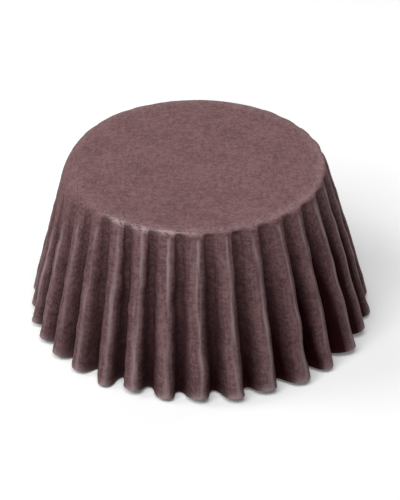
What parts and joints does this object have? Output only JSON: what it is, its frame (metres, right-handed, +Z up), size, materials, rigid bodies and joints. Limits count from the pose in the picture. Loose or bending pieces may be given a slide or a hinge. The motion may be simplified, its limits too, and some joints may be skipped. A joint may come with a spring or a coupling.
{
  "type": "cupcake liner",
  "caption": "Fluted paper baking cup, shown mouth down: a flat round base with a pleated wall that flares towards the open mouth.",
  "frame": {"origin": "middle of the mouth, on the surface that the liner stands on, upside down", "axes": "+Z up along the cup's axis, from the mouth to the base"},
  "size_m": [0.0667, 0.0668, 0.0336],
  "materials": {
    "brown_paper": "matt greaseproof paper dyed dark brown"
  },
  "bodies": {
    "root": {"liner": "brown_paper"}
  },
  "joints": []
}
